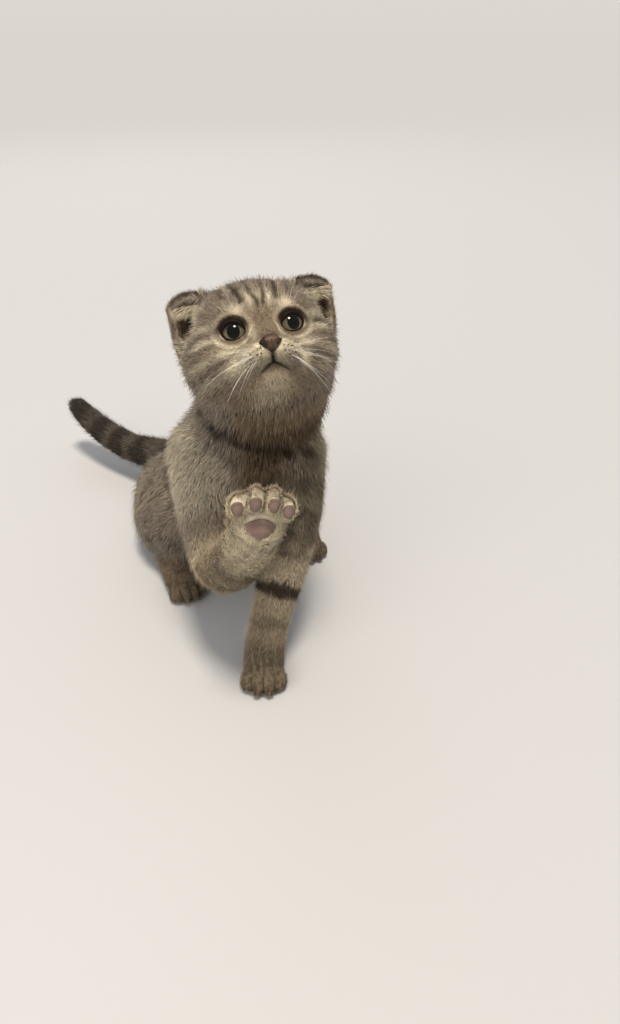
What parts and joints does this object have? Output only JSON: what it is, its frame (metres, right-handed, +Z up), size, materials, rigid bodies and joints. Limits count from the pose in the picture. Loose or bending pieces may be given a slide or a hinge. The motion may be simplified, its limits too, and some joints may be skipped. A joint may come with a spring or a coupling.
{
  "type": "scottish fold kitten",
  "caption": "Life-size still model of a young tabby cat with folded ears, sitting up with one forepaw raised.",
  "frame": {"origin": "on the floor under the rump, on the flat that the seated body rests on", "axes": "+Z up, -Y the way the kitten faces (turned a little to +X), +X to the kitten's left"},
  "size_m": [0.2702, 0.3955, 0.2723],
  "materials": {
    "coat": "short, dense silver-brown tabby fur",
    "nose leather": "bare, moist, brownish pink nose leather",
    "eye": "wet, glossy eye with an olive iris"
  },
  "bodies": {
    "root": {"head": "coat", "nose": "nose leather", "eye_left": "eye", "eye_right": "eye", "ear_left": "coat", "ear_right": "coat", "neck": "coat", "torso": "coat", "foreleg_left": "coat", "foreleg_right": "coat", "forepaw_left": "coat", "forepaw_right": "coat", "hindleg_left": "coat", "hindleg_right": "coat", "hindpaw_left": "coat", "hindpaw_right": "coat", "tail_base": "coat", "tail_middle": "coat", "tail_tip": "coat"}
  },
  "joints": []
}
